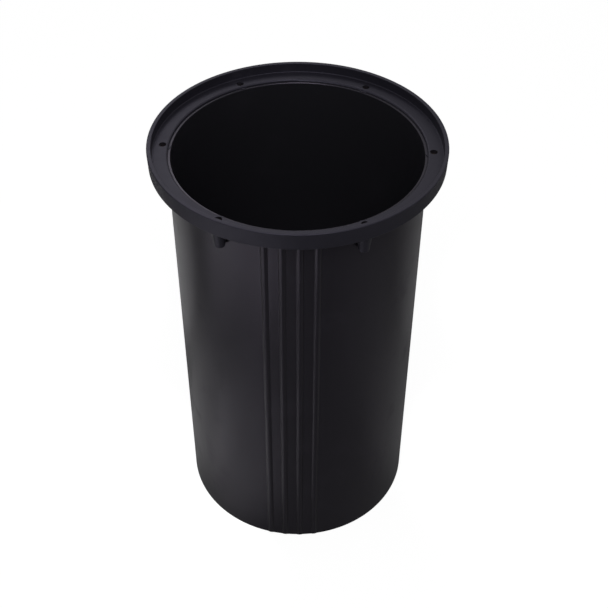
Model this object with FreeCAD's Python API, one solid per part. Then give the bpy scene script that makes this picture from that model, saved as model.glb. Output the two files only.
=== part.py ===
"""Burial sleeve of an in-ground well light.

Three kinds of piece, each written to its own file in parts/:
  sleeve_tube    straight tube, open at both ends, four raised ribs on its front
  collar         ring bonded on the tube's top end: rim, screw ledge, skirt, socket, bosses
  screw_inserts  six threaded inserts moulded into the collar's bosses

Millimetres, +Z up. The origin is the centre of the tube's bottom end, on the ground
plane, and the ribs face -Y.
"""
import FreeCAD
import Part
import math
import os

# ---------------------------------------------------------------- driving dimensions
SLEEVE_HEIGHT = 367.0      # bottom end to the top of the rim
TUBE_OUTER_D = 200.0
TUBE_WALL = 2.5
TUBE_END_CHAMFER = 0.3     # on the outer edge of the bottom end; it also cuts the ribs back

COLLAR_D = 230.0           # across the top of the rim
RIM_WIDTH = 3.4            # wall of the rim round the recess
LEDGE_DEPTH = 8.0          # rim top down to the screw ledge
LEDGE_THICK = 3.0
SKIRT_HEIGHT = 14.0        # outer wall of the collar, top to lower edge
SKIRT_WALL = 3.2
DRAFT = 0.5                # how far the moulded outer walls lean in towards their foot
STOP_LIP_REACH = 0.6       # how far the stop lip covers the tube's end
STOP_LIP_THICK = 2.0
SOCKET_WALL = 2.8
SOCKET_DEPTH = 12.0        # length of tube held in the collar
EDGE_R = 0.8               # rounding of the rim and skirt edges
LEDGE_COVE_R = 0.5         # cove between the ledge and the rim's inner wall
UNDER_COVE_R = 1.2         # coves under the ledge, at the socket and at the skirt
LIP_EDGE_R = 0.4
MOUTH_EDGE_R = 1.4         # rounding of the mouth, on the upper edge of the stop lip

SCREW_COUNT = 6
SCREW_CIRCLE_D = 208.0
SCREW_MOUTH_D = 5.8        # clearance mouth of each screw hole
BOSS_TOP_D = 12.0          # boss diameter at the skirt's lower edge
BOSS_END_D = 8.0
BOSS_LENGTH = 18.0         # how far a boss hangs below the skirt
BOSS_END_R = 1.2
BOSS_FLOOR = 5.0           # closed plastic below the screw hole

INSERT_D = 6.4
INSERT_LENGTH = 8.0
INSERT_BORE_D = 4.2        # core of an M5 thread
INSERT_SET_DOWN = 4.0      # top of the insert below the ledge
INSERT_GROOVE_WIDTH = 1.4
INSERT_GROOVE_DEPTH = 0.5
INSERT_CHAMFER = 0.3

RIB_COUNT = 4
RIB_PITCH_DEG = 7.54       # angle from rib to rib
RIB_WIDTH = 5.4            # of a rounded rib, at its foot
RIB_HEIGHT = 1.6
RIB_FACING_DEG = -90.0     # middle of the group of ribs
RIB_FOOT_DEPTH = 0.5       # how far a rib's foot is sunk into the tube wall before joining

# ------------------------------------------------------------------ worked-out values
TUBE_R = TUBE_OUTER_D / 2
BORE_R = TUBE_R - TUBE_WALL
COLLAR_R = COLLAR_D / 2
RIM_INNER_R = COLLAR_R - RIM_WIDTH
LEDGE_TOP = SLEEVE_HEIGHT - LEDGE_DEPTH
LEDGE_UNDER = LEDGE_TOP - LEDGE_THICK
SKIRT_LOW = SLEEVE_HEIGHT - SKIRT_HEIGHT
TUBE_TOP = LEDGE_TOP - STOP_LIP_THICK
SOCKET_LOW = TUBE_TOP - SOCKET_DEPTH
SOCKET_R = TUBE_R + SOCKET_WALL
LIP_INNER_R = TUBE_R - STOP_LIP_REACH
SCREW_R = SCREW_CIRCLE_D / 2
BOSS_LOW = SKIRT_LOW - BOSS_LENGTH
INSERT_TOP = LEDGE_TOP - INSERT_SET_DOWN
INSERT_LOW = INSERT_TOP - INSERT_LENGTH

AXIS_BASE = FreeCAD.Vector(0, 0, 0)
UP = FreeCAD.Vector(0, 0, 1)
SAME_POINT = 1e-6          # ends of two edges closer than this already meet


def corner_arc(before, corner, after, radius):
    """Start, middle and end of the arc that rounds a corner of an outline."""
    to_before = (before - corner).normalize()
    to_after = (after - corner).normalize()
    half_angle = to_before.getAngle(to_after) / 2
    bisector = (to_before + to_after).normalize()
    reach = radius / math.tan(half_angle)
    centre_distance = radius / math.sin(half_angle)
    start = corner + to_before * reach
    middle = corner + bisector * (centre_distance - radius)
    end = corner + to_after * reach
    return start, middle, end


def turned(outline):
    """Solid of revolution about +Z from (radius, height, corner rounding) points."""
    points = [FreeCAD.Vector(radius, 0, height) for radius, height, rounding in outline]
    count = len(points)
    stretches = []
    for index, (radius, height, rounding) in enumerate(outline):
        corner = points[index]
        if rounding > 0:
            after = points[(index + 1) % count]
            stretches.append(corner_arc(points[index - 1], corner, after, rounding))
        else:
            stretches.append((corner,))
    edges = []
    for index, stretch in enumerate(stretches):
        if len(stretch) > 1:
            edges.append(Part.Arc(*stretch).toShape())
        following = stretches[(index + 1) % count]
        if stretch[-1].distanceToPoint(following[0]) > SAME_POINT:
            edges.append(Part.makeLine(stretch[-1], following[0]))
    return Part.Face(Part.Wire(edges)).revolve(AXIS_BASE, UP, 360)


def around_screw_circle(shape):
    """Copies of one shape, built at angle 0, at every screw position."""
    copies = []
    for index in range(SCREW_COUNT):
        turned_copy = shape.copy()
        turned_copy.rotate(AXIS_BASE, UP, index * 360 / SCREW_COUNT)
        copies.append(turned_copy)
    return copies


def tube_rib(angle_deg):
    """One rounded rib, from the bottom end up to the socket."""
    half = RIB_WIDTH / 2
    foot_x = TUBE_R - RIB_FOOT_DEPTH
    base_x = math.sqrt(TUBE_R ** 2 - half ** 2)
    crest = FreeCAD.Vector(TUBE_R + RIB_HEIGHT, 0, 0)
    left_base = FreeCAD.Vector(base_x, -half, 0)
    left_foot = FreeCAD.Vector(foot_x, -half, 0)
    right_base = FreeCAD.Vector(base_x, half, 0)
    right_foot = FreeCAD.Vector(foot_x, half, 0)
    outline = Part.Wire([
        Part.Arc(left_base, crest, right_base).toShape(),
        Part.makeLine(right_base, right_foot),
        Part.makeLine(right_foot, left_foot),
        Part.makeLine(left_foot, left_base),
    ])
    rib = Part.Face(outline).extrude(UP * SOCKET_LOW)
    rib.rotate(AXIS_BASE, UP, angle_deg)
    return rib


def end_cone():
    """Waste round the lower end: what the chamfer takes off the tube and off its ribs."""
    low_r = TUBE_R - TUBE_END_CHAMFER
    clear_of_ribs = TUBE_END_CHAMFER + RIB_HEIGHT + RIB_FOOT_DEPTH
    return turned([
        (low_r, 0, 0),
        (low_r + clear_of_ribs, 0, 0),
        (low_r + clear_of_ribs, clear_of_ribs, 0),
    ])


def sleeve_tube():
    """Straight tube with its ribs; the plain top end sits in the collar's socket."""
    tube = turned([
        (BORE_R, 0, 0),
        (TUBE_R, 0, 0),
        (TUBE_R, TUBE_TOP, 0),
        (BORE_R, TUBE_TOP, 0),
    ])
    first = RIB_FACING_DEG - (RIB_COUNT - 1) / 2 * RIB_PITCH_DEG
    ribs = [tube_rib(first + index * RIB_PITCH_DEG) for index in range(RIB_COUNT)]
    return tube.fuse(ribs).removeSplitter().cut(end_cone())


def insert_body():
    """One threaded insert at angle 0: a turned barrel with a retaining groove and a bore."""
    outer_r = INSERT_D / 2
    groove_r = outer_r - INSERT_GROOVE_DEPTH
    bore_r = INSERT_BORE_D / 2
    middle = (INSERT_TOP + INSERT_LOW) / 2
    groove_low = middle - INSERT_GROOVE_WIDTH / 2
    groove_top = middle + INSERT_GROOVE_WIDTH / 2
    insert = turned([
        (bore_r, INSERT_LOW, 0),
        (outer_r - INSERT_CHAMFER, INSERT_LOW, 0),
        (outer_r, INSERT_LOW + INSERT_CHAMFER, 0),
        (outer_r, groove_low, 0),
        (groove_r, groove_low, 0),
        (groove_r, groove_top, 0),
        (outer_r, groove_top, 0),
        (outer_r, INSERT_TOP - INSERT_CHAMFER, 0),
        (outer_r - INSERT_CHAMFER, INSERT_TOP, 0),
        (bore_r, INSERT_TOP, 0),
    ])
    insert.translate(FreeCAD.Vector(SCREW_R, 0, 0))
    return insert


def boss():
    """One screw boss at angle 0: a tapering post with a rounded lower end."""
    neck_r = BOSS_TOP_D / 2
    root = LEDGE_UNDER + LEDGE_THICK / 2
    post = turned([
        (0, BOSS_LOW, 0),
        (BOSS_END_D / 2, BOSS_LOW, BOSS_END_R),
        (neck_r, SKIRT_LOW, 0),
        (neck_r, root, 0),
        (0, root, 0),
    ])
    post.translate(FreeCAD.Vector(SCREW_R, 0, 0))
    return post


def screw_hole():
    """Space in one boss: clearance for the screw and the seat of its insert."""
    screw_low = BOSS_LOW + BOSS_FLOOR
    at_screw = FreeCAD.Vector(SCREW_R, 0, screw_low)
    shaft = Part.makeCylinder(SCREW_MOUTH_D / 2, INSERT_LOW - screw_low, at_screw)
    at_mouth = FreeCAD.Vector(SCREW_R, 0, INSERT_TOP)
    mouth = Part.makeCylinder(SCREW_MOUTH_D / 2, LEDGE_TOP - INSERT_TOP, at_mouth)
    insert = insert_body()
    bore = Part.makeCylinder(INSERT_BORE_D / 2, INSERT_LENGTH, FreeCAD.Vector(SCREW_R, 0, INSERT_LOW))
    return shaft.fuse([mouth, insert, bore])


def collar():
    """Moulded ring: rim, ledge and skirt turned, bosses added, then socket and holes cut."""
    ring = turned([
        (LIP_INNER_R, SOCKET_LOW, 0),
        (SOCKET_R - DRAFT, SOCKET_LOW, LIP_EDGE_R),
        (SOCKET_R, LEDGE_UNDER, UNDER_COVE_R),
        (COLLAR_R - SKIRT_WALL, LEDGE_UNDER, UNDER_COVE_R),
        (COLLAR_R - SKIRT_WALL, SKIRT_LOW, LIP_EDGE_R),
        (COLLAR_R - DRAFT, SKIRT_LOW, EDGE_R),
        (COLLAR_R, SLEEVE_HEIGHT, EDGE_R),
        (RIM_INNER_R, SLEEVE_HEIGHT, LIP_EDGE_R),
        (RIM_INNER_R, LEDGE_TOP, LEDGE_COVE_R),
        (LIP_INNER_R, LEDGE_TOP, MOUTH_EDGE_R),
    ])
    socket = Part.makeCylinder(TUBE_R, TUBE_TOP)
    blank = ring.fuse(around_screw_circle(boss())).cut(socket)
    return blank.cut(around_screw_circle(screw_hole()))


def screw_inserts():
    """The six inserts as one group of separate solids."""
    return Part.Compound(around_screw_circle(insert_body()))


def write_parts():
    os.makedirs("parts", exist_ok=True)
    pieces = {
        "sleeve_tube": sleeve_tube(),
        "collar": collar(),
        "screw_inserts": screw_inserts(),
    }
    for name, shape in pieces.items():
        box = shape.BoundBox
        print(name, "solids", len(shape.Solids), "valid", shape.isValid(),
              "size %.2f x %.2f x %.2f" % (box.XLength, box.YLength, box.ZLength))
        shape.exportStep("parts/%s.step" % name)


write_parts()
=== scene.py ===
# %% [markdown]
# # Burial sleeve of an in-ground well light
# The real object is an open black plastic tube that is buried upright in the ground. A
# moulded collar is cemented on its top end, and a lamp is lowered in later. This notebook
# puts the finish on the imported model: it loads the exact solids first, so that every new
# piece goes straight to the place that the drawing gives, with no fitting by eye.

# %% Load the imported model
import bpy
import bmesh
import math
from mathutils import Matrix, Vector


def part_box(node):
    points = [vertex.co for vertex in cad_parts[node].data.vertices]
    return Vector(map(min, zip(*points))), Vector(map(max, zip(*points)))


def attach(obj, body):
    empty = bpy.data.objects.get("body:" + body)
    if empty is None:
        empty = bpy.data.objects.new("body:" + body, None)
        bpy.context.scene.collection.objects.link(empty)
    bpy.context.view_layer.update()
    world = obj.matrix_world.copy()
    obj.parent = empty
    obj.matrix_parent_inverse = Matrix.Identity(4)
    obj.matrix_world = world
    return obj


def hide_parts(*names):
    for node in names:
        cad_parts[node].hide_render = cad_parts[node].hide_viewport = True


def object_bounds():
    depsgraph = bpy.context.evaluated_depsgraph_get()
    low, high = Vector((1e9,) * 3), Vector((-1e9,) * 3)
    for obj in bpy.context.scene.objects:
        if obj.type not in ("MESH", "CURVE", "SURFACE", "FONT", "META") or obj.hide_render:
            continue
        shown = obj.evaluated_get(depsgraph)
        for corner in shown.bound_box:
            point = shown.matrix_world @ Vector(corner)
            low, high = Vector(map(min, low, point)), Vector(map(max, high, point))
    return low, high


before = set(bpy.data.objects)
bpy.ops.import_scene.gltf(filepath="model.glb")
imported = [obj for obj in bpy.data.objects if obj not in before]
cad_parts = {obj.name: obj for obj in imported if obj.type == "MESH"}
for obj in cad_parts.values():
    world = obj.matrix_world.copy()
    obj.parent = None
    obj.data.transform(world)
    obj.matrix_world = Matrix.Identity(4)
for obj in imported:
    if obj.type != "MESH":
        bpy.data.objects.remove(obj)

cad_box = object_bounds()
for node_name, node_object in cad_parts.items():
    print(node_name, len(node_object.data.polygons), "triangles")

# %% [markdown]
# ## Camera
# The photograph was taken from about 0.7 m in front of the tube and half a metre above its
# rim. A camera could be aimed by hand until the outlines agree; here its place was worked
# out from the outlines, so it is written as a position, a downward pitch and a lens.

# %% Camera
CAMERA_PLACE = Vector((0.0339, -0.6988, 0.8434))
CAMERA_PITCH_DOWN = math.radians(42.76)
CAMERA_LENS_MM = 65.13
CAMERA_SENSOR_MM = 36
PICTURE_WIDTH_PX = 608
AXIS_LEFT_OF_MIDDLE_PX = 6.33


def add_object(name, data):
    """Makes an object from a mesh, lamp or camera, and puts it in the scene."""
    added = bpy.data.objects.new(name, data)
    bpy.context.scene.collection.objects.link(added)
    return added


camera_data = bpy.data.cameras.new("photo_camera")
camera_data.lens = CAMERA_LENS_MM
camera_data.sensor_width = CAMERA_SENSOR_MM
camera_data.shift_x = AXIS_LEFT_OF_MIDDLE_PX / PICTURE_WIDTH_PX
camera = add_object("photo_camera", camera_data)
heading = math.atan2(CAMERA_PLACE.x, -CAMERA_PLACE.y)
turn_to_axis = Matrix.Rotation(heading, 4, "Z")
pitch = Matrix.Rotation(math.pi / 2 - CAMERA_PITCH_DOWN, 4, "X")
camera.matrix_world = Matrix.Translation(CAMERA_PLACE) @ turn_to_axis @ pitch
bpy.context.scene.camera = camera
bpy.context.scene.view_settings.view_transform = "Standard"
print("camera heading %.2f degrees" % math.degrees(heading))

# %% [markdown]
# ## Shader maths as plain sums
# A finish is a sum of small effects: streaks, smudges, grain. Math nodes could be placed
# and linked one by one, but a sum is easier to read as a sum. `Wire` wraps one socket, so
# that `0.3 + 0.1 * streaks` adds the two Math nodes, and `Finish.node` adds any other node
# from its type, its settings and its inputs.

# %% Wire
class Wire:
    """One output socket. Arithmetic on it adds Math nodes."""

    def __init__(self, finish, socket):
        self.finish = finish
        self.socket = socket

    def __add__(self, other):
        return self.finish.maths("ADD", self, other)

    def __radd__(self, other):
        return self.finish.maths("ADD", other, self)

    def __mul__(self, other):
        return self.finish.maths("MULTIPLY", self, other)

    def __rmul__(self, other):
        return self.finish.maths("MULTIPLY", other, self)


# %% Finish
# A Mix node has a set of sockets for each kind of value, with the same names in each set.
# So its colour sockets are told apart by their numbers.
MIX_MASK = 0
MIX_FIRST_COLOUR = 6
MIX_SECOND_COLOUR = 7
MIX_COLOUR_OUT = 2


class Finish:
    """The node tree of a material, or of the world, with one method that adds any node."""

    def __init__(self, name, world=None):
        self.owner = world or bpy.data.materials.new(name)
        self.owner.use_nodes = True
        self.tree = self.owner.node_tree
        self.tree.nodes.clear()
        output_kind = "ShaderNodeOutputWorld" if world else "ShaderNodeOutputMaterial"
        self.output = self.tree.nodes.new(output_kind)

    def node(self, kind, settings=None, inputs=(), out=0):
        """Adds a node, with its inputs by name or in order, and wraps one of its outputs."""
        node = self.tree.nodes.new(kind)
        for setting, value in (settings or {}).items():
            if setting == "stops":
                for element, (position, level) in zip(node.color_ramp.elements, value):
                    element.position = position
                    element.color = (level, level, level, 1)
            else:
                setattr(node, setting, value)
        pairs = inputs.items() if isinstance(inputs, dict) else enumerate(inputs)
        for socket_name, value in pairs:
            socket = node.inputs[socket_name]
            if isinstance(value, Wire):
                self.tree.links.new(value.socket, socket)
            else:
                socket.default_value = value
        return Wire(self, node.outputs[out])

    def place(self):
        """Object coordinates, in metres."""
        return self.node("ShaderNodeTexCoord", out="Object")

    def stretched(self, scale):
        """Object coordinates, scaled by a number of their own along each axis."""
        inputs = {"Vector": self.place(), "Scale": scale}
        return self.node("ShaderNodeMapping", inputs=inputs)

    def noise(self, vector, scale=1.0, detail=2.0, roughness=0.5):
        inputs = {"Vector": vector, "Scale": scale, "Detail": detail, "Roughness": roughness}
        return self.node("ShaderNodeTexNoise", inputs=inputs)

    def between(self, wire, low, high):
        """0 below low, 1 above high, straight between."""
        return self.node("ShaderNodeValToRGB", {"stops": ((low, 0), (high, 1))}, (wire,))

    def smudges(self, scale, low, high):
        """1 in scattered spots with ragged edges, 0 between them."""
        pattern = self.noise(self.place(), scale=scale, detail=5, roughness=0.6)
        return self.between(pattern, low, high)

    def maths(self, operation, *values):
        return self.node("ShaderNodeMath", {"operation": operation}, values)

    def tint(self, mask, first, second):
        """A colour that goes from the first to the second as a mask goes from 0 to 1."""
        colours = [tone if isinstance(tone, Wire) else (*tone, 1) for tone in (first, second)]
        inputs = {MIX_MASK: mask, MIX_FIRST_COLOUR: colours[0], MIX_SECOND_COLOUR: colours[1]}
        return self.node("ShaderNodeMix", {"data_type": "RGBA"}, inputs, out=MIX_COLOUR_OUT)

    def bump(self, height, depth, normal=None):
        """Relief as deep as given, in metres, laid over another relief if there is one."""
        inputs = {"Height": height, "Distance": depth, "Strength": 1.0}
        if normal:
            inputs["Normal"] = normal
        return self.node("ShaderNodeBump", inputs=inputs)

    def show(self, shader):
        """Links the finished shader, and returns the material or world that wears it."""
        self.tree.links.new(shader.socket, self.output.inputs["Surface"])
        return self.owner


# %% [markdown]
# ## Floor and surroundings
# The photograph has a pure white ground. More light would turn a pale floor white, but it
# would turn the black plastic grey too. So the floor keeps a plain level of light, and a
# ray from the camera, or one that comes through glass, sees a white glow added to it, with
# a trace of the sleeve's soft shadow left. Gloss mirrors only a small share of that glow:
# a satin wall that mirrored all of it would be grey, and in the photograph it is black.

# %% What counts as background
MIRRORED_SHARE = 0.03


def background_share(finish):
    """1 for a ray that sees the background, a small share for one mirrored by gloss."""
    seen = finish.node("ShaderNodeLightPath", out="Is Camera Ray")
    through_glass = finish.node("ShaderNodeLightPath", out="Is Transmission Ray")
    mirrored = finish.node("ShaderNodeLightPath", out="Is Glossy Ray")
    return seen + through_glass + MIRRORED_SHARE * mirrored


# %% Floor
MM = 0.001
FLOOR_SIZE = 12.0
FLOOR_ALBEDO = 0.17
FLOOR_GLOW = 0.91
FLOOR_DROP = 0.1 * MM    # keeps the floor's plane and the tube's end from sharing one height
WHITE = (1, 1, 1, 1)

floor_finish = Finish("pale_floor")
matt = floor_finish.node("ShaderNodeBsdfDiffuse", inputs={"Color": (FLOOR_ALBEDO,) * 3 + (1,)})
glow = floor_finish.node("ShaderNodeEmission", inputs={"Color": WHITE, "Strength": FLOOR_GLOW})
brightened = floor_finish.node("ShaderNodeAddShader", inputs=(matt, glow))
floor_shader = floor_finish.node("ShaderNodeMixShader",
                                 inputs=(background_share(floor_finish), matt, brightened))

floor_bm = bmesh.new()
bmesh.ops.create_grid(floor_bm, x_segments=1, y_segments=1, size=FLOOR_SIZE / 2)
bmesh.ops.translate(floor_bm, verts=floor_bm.verts, vec=(0, 0, -FLOOR_DROP))
floor_mesh = bpy.data.meshes.new("floor")
floor_bm.to_mesh(floor_mesh)
floor_bm.free()
floor = add_object("floor", floor_mesh)
floor_mesh.materials.append(floor_finish.show(floor_shader))
print("floor %.0f m wide" % FLOOR_SIZE)

# %% World
STUDIO_LEVEL = 0.35      # light that reaches the sleeve from all round
WHITE_LEVEL = 1.0        # seen where the camera looks past the floor

studio = bpy.data.worlds.new("studio")
bpy.context.scene.world = studio
surroundings = Finish("studio", studio)
level = STUDIO_LEVEL + (WHITE_LEVEL - STUDIO_LEVEL) * background_share(surroundings)
surroundings.show(surroundings.node("ShaderNodeBackground",
                                    inputs={"Color": WHITE, "Strength": level}))
print("world with", len(surroundings.tree.nodes), "nodes")

# %% [markdown]
# ## Lamps
# Black plastic gives back almost no light of its own. What the eye reads as its shape is
# what its gloss mirrors. Two soft boxes light the flat ledge and the rim: one behind the
# sleeve, and a wider one in front of it. They could light the tube's wall too, but an
# upright wall that is seen from above mirrors the floor. So spots hang straight above
# round patches of floor, and the wall shows those patches as its broad soft stripes.

# %% Softboxes
SOFTBOX_DISTANCE = 1.8
MOUTH = Vector((0, 0, cad_box[1][2]))


def softbox(name, azimuth_deg, elevation_deg, side, radiance):
    """A square area light, aimed at the mouth from a compass angle and a height angle."""
    azimuth = math.radians(azimuth_deg)
    elevation = math.radians(elevation_deg)
    to_lamp = Vector((math.cos(elevation) * math.cos(azimuth),
                      math.cos(elevation) * math.sin(azimuth),
                      math.sin(elevation)))
    light = bpy.data.lights.new(name, "AREA")
    light.shape = "SQUARE"
    light.size = side
    light.energy = radiance * math.pi * side ** 2
    lamp = add_object(name, light)
    facing = to_lamp.to_track_quat("Z", "Y").to_matrix().to_4x4()
    lamp.matrix_world = Matrix.Translation(MOUTH + to_lamp * SOFTBOX_DISTANCE) @ facing
    print(name, "%.0f W" % light.energy)


softbox("back_softbox", 105, 45, side=0.5, radiance=3.1)
softbox("front_softbox", 270, 50, side=0.8, radiance=6.1)

# %% Spots on the floor
SPOT_HEIGHT = 1.5
SPOT_SOFTNESS = 0.35
SPOT_LAMP_R = 0.03
NEAR_SPOTS = {-128: 150, -172: 125, 0: 34}      # watts at each compass angle
MIDDLE_SPOTS = {150: 182, 35: 55, -30: 20}
FAR_SPOTS = {-118: 369, -150: 354}


def floor_spots(spots, distance, patch_radius):
    """Spots straight above round patches of floor, which the gloss then mirrors."""
    for azimuth_deg, watts in spots.items():
        name = "floor_spot_%d_%d" % (azimuth_deg, round(distance * 100))
        light = bpy.data.lights.new(name, "SPOT")
        light.energy = watts
        light.spot_size = 2 * math.atan(patch_radius / SPOT_HEIGHT)
        light.spot_blend = SPOT_SOFTNESS
        light.shadow_soft_size = SPOT_LAMP_R
        lamp = add_object(name, light)
        azimuth = math.radians(azimuth_deg)
        lamp.location = (distance * math.cos(azimuth), distance * math.sin(azimuth), SPOT_HEIGHT)
        print(name, watts, "W")


floor_spots(NEAR_SPOTS, distance=0.21, patch_radius=0.11)
floor_spots(MIDDLE_SPOTS, distance=0.40, patch_radius=0.17)
floor_spots(FAR_SPOTS, distance=0.60, patch_radius=0.22)

# %% [markdown]
# ## Sleeve tube
# The real tube is extruded: hot plastic is pushed through a ring with four notches, so it
# has four straight ribs down its front and very fine lines along its length. It could be
# made by adding rib blocks to a cylinder. Here the outline of the ring is shaped first and
# then pulled up, as the extruder does it, which gives the ribs soft feet.

# %% Outline of the extrusion
TUBE_R = 100 * MM
BORE_R = 97.5 * MM
TUBE_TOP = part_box("sleeve_tube")[1][2]
RIBS_FACE_DEG = -90
RIB_SPACING_DEG = 7.54
RIB_ANGLES = [math.radians(RIBS_FACE_DEG + step * RIB_SPACING_DEG)
              for step in (-1.5, -0.5, 0.5, 1.5)]
RIB_HALF_WIDTH = 2.7 * MM
RIB_HEIGHT = 1.6 * MM
RIB_ROUND_R = (RIB_HALF_WIDTH ** 2 + RIB_HEIGHT ** 2) / (2 * RIB_HEIGHT)
RIB_FOOT_SOFTNESS = 0.18 * MM
RIB_FOOT_REACH = RIB_HALF_WIDTH * 1.4      # the soft foot has died away by here
OUTLINE_SEGMENTS = 360
RIB_CUTS = 11


def off_rib(point):
    """Distance along the wall from a point to the middle of the nearest rib."""
    angle = math.atan2(point.y, point.x)
    return min(abs(angle - rib) for rib in RIB_ANGLES) * TUBE_R


def wall_reach(point):
    """Distance of the outline from the axis: the plain wall, or a rounded rib on it."""
    offset = off_rib(point)
    if offset >= RIB_FOOT_REACH:
        return TUBE_R
    inside = min(offset, RIB_HALF_WIDTH)
    drop = RIB_ROUND_R - math.sqrt(RIB_ROUND_R ** 2 - inside ** 2)
    bead = RIB_HEIGHT - drop - (offset - inside)
    return TUBE_R + (bead + math.hypot(bead, RIB_FOOT_SOFTNESS)) / 2


def set_radius(vertices, radius):
    """Moves points straight out from, or in to, the axis."""
    for vertex in vertices:
        flat = Vector((vertex.co.x, vertex.co.y, 0)).normalized()
        reach = radius(vertex.co)
        vertex.co.x = flat.x * reach
        vertex.co.y = flat.y * reach


tube_bm = bmesh.new()
bmesh.ops.create_circle(tube_bm, segments=OUTLINE_SEGMENTS, radius=TUBE_R)
near_ribs = [edge for edge in tube_bm.edges
             if off_rib((edge.verts[0].co + edge.verts[1].co) / 2) < RIB_FOOT_REACH]
bmesh.ops.subdivide_edges(tube_bm, edges=near_ribs, cuts=RIB_CUTS)
print("outline of", len(tube_bm.verts), "points")


# %% Pull the outline up
def pull(bm, edges, height=0.0):
    """Extrudes a ring of edges and lifts the new ring. Returns its edges and vertices."""
    made = bmesh.ops.extrude_edge_only(bm, edges=edges)["geom"]
    new_edges = [item for item in made if isinstance(item, bmesh.types.BMEdge)]
    new_vertices = [item for item in made if isinstance(item, bmesh.types.BMVert)]
    bmesh.ops.translate(bm, verts=new_vertices, vec=(0, 0, height))
    return new_edges, new_vertices


END_CHAMFER = 0.3 * MM
END_STEPS = 5
BORE_CHAMFER = 0.3 * MM
SOCKET_DEPTH = 12 * MM
RIB_TOP = TUBE_TOP - SOCKET_DEPTH
RIB_END_SLOPE = 0.3 * MM


def cut_reach(point):
    """The wall, cut back near its lower end by the cone that breaks the sawn edge."""
    return min(wall_reach(point), TUBE_R - END_CHAMFER + point.z)


first_edges = list(tube_bm.edges)
set_radius(tube_bm.verts, cut_reach)
ring, points = pull(tube_bm, first_edges, END_CHAMFER)
set_radius(points, cut_reach)
for end_step in range(END_STEPS):
    ring, points = pull(tube_bm, ring, RIB_HEIGHT / END_STEPS)
    set_radius(points, cut_reach)
ring, points = pull(tube_bm, ring, RIB_TOP - RIB_END_SLOPE - END_CHAMFER - RIB_HEIGHT)
ring, points = pull(tube_bm, ring, RIB_END_SLOPE)
set_radius(points, lambda place: TUBE_R)
ring, points = pull(tube_bm, ring, TUBE_TOP - RIB_TOP)
ring, points = pull(tube_bm, ring)
set_radius(points, lambda place: BORE_R + BORE_CHAMFER)
ring, points = pull(tube_bm, ring, -BORE_CHAMFER)
set_radius(points, lambda place: BORE_R)
ring, points = pull(tube_bm, ring, -(TUBE_TOP - 2 * BORE_CHAMFER))
ring, points = pull(tube_bm, ring, -BORE_CHAMFER)
set_radius(points, lambda place: BORE_R + BORE_CHAMFER)
bmesh.ops.bridge_loops(tube_bm, edges=ring + first_edges)
print("tube of", len(tube_bm.faces), "faces")

# %% Keep a mesh as a piece
SEAM_MERGE = 0.0001 * MM
SHARP_EDGE = math.radians(30)


def keep(bm, name, node, material):
    """Turns a finished bmesh into a piece that rides on the sleeve and stands for a node."""
    bmesh.ops.remove_doubles(bm, verts=bm.verts, dist=SEAM_MERGE)
    bmesh.ops.recalc_face_normals(bm, faces=bm.faces)
    open_edges = sum(1 for edge in bm.edges if not edge.is_manifold)
    mesh = bpy.data.meshes.new(name)
    bm.to_mesh(mesh)
    bm.free()
    mesh.shade_smooth()
    mesh.set_sharp_from_angle(angle=SHARP_EDGE)
    mesh.materials.append(material)
    piece = add_object(name, mesh)
    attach(piece, "root")
    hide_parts(node)
    print(name, len(mesh.polygons), "faces,", open_edges, "open edges")


# %% [markdown]
# ## Black tube plastic
# Extruded plastic is satin: a soft mirror with die lines along the length and a few rub
# marks. One roughness number would look like a computer's plastic, so streaks, broad
# patches and smudges each change it a little. The black leans towards violet. The base
# colour alone could carry that, but black gives back so little light that it would hardly
# show, so the gloss is tinted too. Its tint and its strength are the same all over.

# %% Tube finish
TUBE_BLACK = (0.0077, 0.0073, 0.0090)
TUBE_RUBBED = (0.016, 0.015, 0.019)
# Painted fill light: the bore's black is lighter than the outer wall's, standing in for light
# that does not reach inside the tube.
BORE_PAINTED_FILL = (0.0145, 0.0143, 0.0172)
TUBE_GLOSS_TINT = (0.86, 0.76, 1.0, 1)
TUBE_IOR = 1.54
TUBE_ROUGHNESS = 0.24        # at its smoothest; each pattern adds to it
DIE_LINE_SCALE = (900, 900, 5)
DIE_LINE_DEPTH = 0.012 * MM
WAVE_SCALE = (30, 30, 6)
WAVE_DEPTH = 0.2 * MM


def tube_plastic():
    finish = Finish("tube_plastic_satin")
    die_lines = finish.noise(finish.stretched(DIE_LINE_SCALE), detail=3)
    patches = finish.noise(finish.place(), scale=8)
    smudges = finish.smudges(scale=24, low=0.56, high=0.74)
    without_height = finish.stretched((1, 1, 0))
    across = finish.node("ShaderNodeVectorMath", {"operation": "LENGTH"},
                         (without_height,), out="Value")
    outside = finish.maths("GREATER_THAN", across, (TUBE_R + BORE_R) / 2)
    waves = finish.bump(finish.noise(finish.stretched(WAVE_SCALE)), WAVE_DEPTH)
    skin = finish.tint(0.25 * die_lines + 0.6 * smudges, TUBE_BLACK, TUBE_RUBBED)
    shader = finish.node("ShaderNodeBsdfPrincipled", inputs={
        # Inside the bore the base colour is the lighter black, a painted fill light, while the
        # outer wall keeps its own black.
        "Base Color": finish.tint(outside, BORE_PAINTED_FILL, skin),
        "Roughness": TUBE_ROUGHNESS + 0.06 * die_lines + 0.08 * patches + 0.12 * smudges,
        "Normal": finish.bump(die_lines, DIE_LINE_DEPTH, waves),
        "IOR": TUBE_IOR,
        "Specular Tint": TUBE_GLOSS_TINT,
    })
    return finish.show(shader)


keep(tube_bm, "sleeve_tube_extrusion", "sleeve_tube", tube_plastic())

# %% [markdown]
# ## Collar plastic
# The collar is moulded in a grained tool, so it is duller than the tube. A new mesh could
# be made for it as well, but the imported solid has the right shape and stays; only its
# material changes. Its gloss is tinted as the tube's is, a little more strongly.

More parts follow.
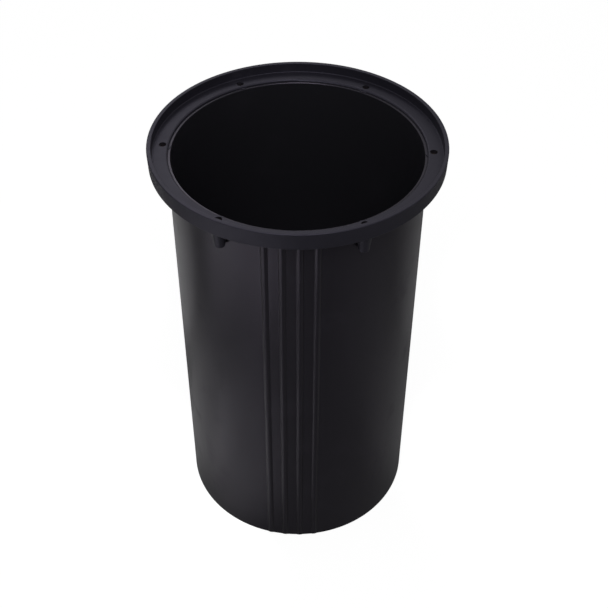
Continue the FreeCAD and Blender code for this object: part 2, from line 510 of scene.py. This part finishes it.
# %% Collar finish
COLLAR_BLACK = (0.0075, 0.0072, 0.0100)
COLLAR_WORN = (0.015, 0.014, 0.019)
COLLAR_GLOSS_TINT = (0.79, 0.74, 1.0, 1)
COLLAR_IOR = 1.58
COLLAR_ROUGHNESS = 0.42
GRAIN_SCALE = 1700
GRAIN_DEPTH = 0.02 * MM


def collar_plastic():
    finish = Finish("collar_plastic_grained")
    grain = finish.noise(finish.place(), scale=GRAIN_SCALE)
    patches = finish.noise(finish.place(), scale=14, detail=3)
    smudges = finish.smudges(scale=45, low=0.55, high=0.75)
    shader = finish.node("ShaderNodeBsdfPrincipled", inputs={
        "Base Color": finish.tint(0.3 * patches + 0.5 * smudges, COLLAR_BLACK, COLLAR_WORN),
        "Roughness": COLLAR_ROUGHNESS + 0.08 * grain + 0.08 * patches + 0.06 * smudges,
        "Normal": finish.bump(grain, GRAIN_DEPTH),
        "IOR": COLLAR_IOR,
        "Specular Tint": COLLAR_GLOSS_TINT,
    })
    return finish.show(shader)


collar_finish = collar_plastic()
collar_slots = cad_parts["collar"].material_slots
for material_slot in collar_slots:
    material_slot.material = collar_finish
print("collar finish put in", len(collar_slots), "of the node's material slots")

# %% [markdown]
# ## Screw inserts
# Six brass inserts are moulded into the collar's bosses, so that the screws bite on metal.
# A turned barrel has two knurled bands, twisted opposite ways so that it neither turns nor
# pulls out, and an M5 thread in its bore. Only its top shows, deep in a screw hole, and a
# plain ring would do for that. It is made whole all the same, because the mesh is also
# used by itself. The thread is one V-shaped line, spun upwards like a spiral staircase.

# %% Thread of one insert
insert_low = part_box("screw_inserts")[0][2]
insert_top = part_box("screw_inserts")[1][2]
THREAD_PITCH = 0.8 * MM
THREAD_CORE_R = 2.1 * MM
THREAD_ROOT_R = 2.5 * MM
STEPS_PER_TURN = 24
SPARE_TURNS = 2             # the thread runs past both end faces and is cut off there
THREAD_LEAD_IN = 1.03       # turns below the insert; no thread point then lies on an end face
TURN_MERGE = 0.001 * MM


def everything(bm):
    return list(bm.verts) + list(bm.edges) + list(bm.faces)


insert_bm = bmesh.new()
thread_start = insert_low - THREAD_LEAD_IN * THREAD_PITCH
whole_turns = round((insert_top - insert_low) / THREAD_PITCH)
thread_turns = whole_turns + SPARE_TURNS
lower_crest = insert_bm.verts.new((THREAD_CORE_R, 0, thread_start))
root = insert_bm.verts.new((THREAD_ROOT_R, 0, thread_start + THREAD_PITCH / 2))
upper_crest = insert_bm.verts.new((THREAD_CORE_R, 0, thread_start + THREAD_PITCH))
flanks = [insert_bm.edges.new((lower_crest, root)), insert_bm.edges.new((root, upper_crest))]
bmesh.ops.spin(insert_bm, geom=[lower_crest, root, upper_crest] + flanks, cent=(0, 0, 0),
               axis=(0, 0, 1), dvec=(0, 0, THREAD_PITCH / STEPS_PER_TURN),
               angle=2 * math.pi * thread_turns, steps=STEPS_PER_TURN * thread_turns)
bmesh.ops.remove_doubles(insert_bm, verts=insert_bm.verts, dist=TURN_MERGE)
for height, upwards in ((insert_low, -1), (insert_top, 1)):
    bmesh.ops.bisect_plane(insert_bm, geom=everything(insert_bm), plane_co=(0, 0, height),
                           plane_no=(0, 0, upwards), clear_outer=True)
thread_ends = [edge for edge in insert_bm.edges if edge.is_boundary]
middle_height = (insert_low + insert_top) / 2
low_thread_end = [edge for edge in thread_ends if edge.verts[0].co.z < middle_height]
top_thread_end = [edge for edge in thread_ends if edge.verts[0].co.z > middle_height]
print(whole_turns, "turns of thread,", len(low_thread_end), "edges at its lower end")

# %% Knurled barrel of one insert
INSERT_R = 3.2 * MM
INSERT_CHAMFER = 0.3 * MM
GROOVE_WIDTH = 1.4 * MM
GROOVE_R = 2.7 * MM
KNURL_TEETH = 24
KNURL_DEPTH = 0.22 * MM
KNURL_TWIST = math.radians(18)


def knurled(point):
    """Every other point of the barrel's outline lies deeper, between two teeth."""
    tooth = round(math.atan2(point.y, point.x) / (math.pi / KNURL_TEETH))
    return INSERT_R - KNURL_DEPTH * (tooth % 2)


band = (insert_top - insert_low - GROOVE_WIDTH) / 2 - INSERT_CHAMFER
barrel_foot = bmesh.ops.create_circle(insert_bm, segments=2 * KNURL_TEETH,
                                      radius=INSERT_R - INSERT_CHAMFER)["verts"]
bmesh.ops.translate(insert_bm, verts=barrel_foot, vec=(0, 0, insert_low))
foot_edges = [edge for edge in insert_bm.edges if edge.is_wire]
ring, points = pull(insert_bm, foot_edges, INSERT_CHAMFER)
set_radius(points, knurled)
for twist_direction in (1, -1):
    ring, points = pull(insert_bm, ring, band)
    twist = Matrix.Rotation(KNURL_TWIST * twist_direction, 3, "Z")
    bmesh.ops.rotate(insert_bm, verts=points, cent=(0, 0, 0), matrix=twist)
    if twist_direction == 1:
        ring, points = pull(insert_bm, ring)
        set_radius(points, lambda place: GROOVE_R)
        ring, points = pull(insert_bm, ring, GROOVE_WIDTH)
        bmesh.ops.rotate(insert_bm, verts=points, cent=(0, 0, 0), matrix=twist.inverted())
        ring, points = pull(insert_bm, ring)
        set_radius(points, knurled)
ring, points = pull(insert_bm, ring, INSERT_CHAMFER)
set_radius(points, lambda place: INSERT_R - INSERT_CHAMFER)
for loops in (foot_edges + low_thread_end, ring + top_thread_end):
    bmesh.ops.triangle_fill(insert_bm, edges=loops, use_beauty=True)
print("one insert of", len(insert_bm.faces), "faces, with bands %.2f mm high" % (band / MM))

# %% Six inserts on the screw circle
SCREW_R = 104 * MM
SCREW_COUNT = 6

bmesh.ops.translate(insert_bm, verts=insert_bm.verts, vec=(SCREW_R, 0, 0))
one_insert = everything(insert_bm)
for position in range(1, SCREW_COUNT):
    copied = bmesh.ops.duplicate(insert_bm, geom=one_insert)["geom"]
    copied_vertices = [item for item in copied if isinstance(item, bmesh.types.BMVert)]
    turn = Matrix.Rotation(2 * math.pi * position / SCREW_COUNT, 3, "Z")
    bmesh.ops.rotate(insert_bm, verts=copied_vertices, cent=(0, 0, 0), matrix=turn)
print(SCREW_COUNT, "inserts,", len(insert_bm.faces), "faces in all")

# %% [markdown]
# ## Brass
# The inserts are turned from bar, so fine lines run round them, and the plain brass has
# dulled to brown in places. One yellow would look like gold; the lines change the
# roughness and the tarnish changes the colour as well.

# %% Brass finish
BRASS_BRIGHT = (0.62, 0.47, 0.24)
BRASS_TARNISHED = (0.30, 0.20, 0.10)
BRASS_ROUGHNESS = 0.28
TURNING_LINE_SCALE = (300, 300, 12000)
TURNING_LINE_DEPTH = 0.006 * MM


def turned_brass():
    finish = Finish("insert_brass_turned")
    turning_lines = finish.noise(finish.stretched(TURNING_LINE_SCALE))
    tarnish_pattern = finish.noise(finish.place(), scale=700, detail=4)
    tarnish = finish.between(tarnish_pattern, low=0.4, high=0.7)
    shader = finish.node("ShaderNodeBsdfPrincipled", inputs={
        "Base Color": finish.tint(0.8 * tarnish, BRASS_BRIGHT, BRASS_TARNISHED),
        "Metallic": 1.0,
        "Roughness": BRASS_ROUGHNESS + 0.15 * turning_lines + 0.2 * tarnish,
        "Normal": finish.bump(turning_lines, TURNING_LINE_DEPTH),
    })
    return finish.show(shader)


keep(insert_bm, "screw_inserts_threaded", "screw_inserts", turned_brass())

# %% Sizes
print("CAD box", cad_box)
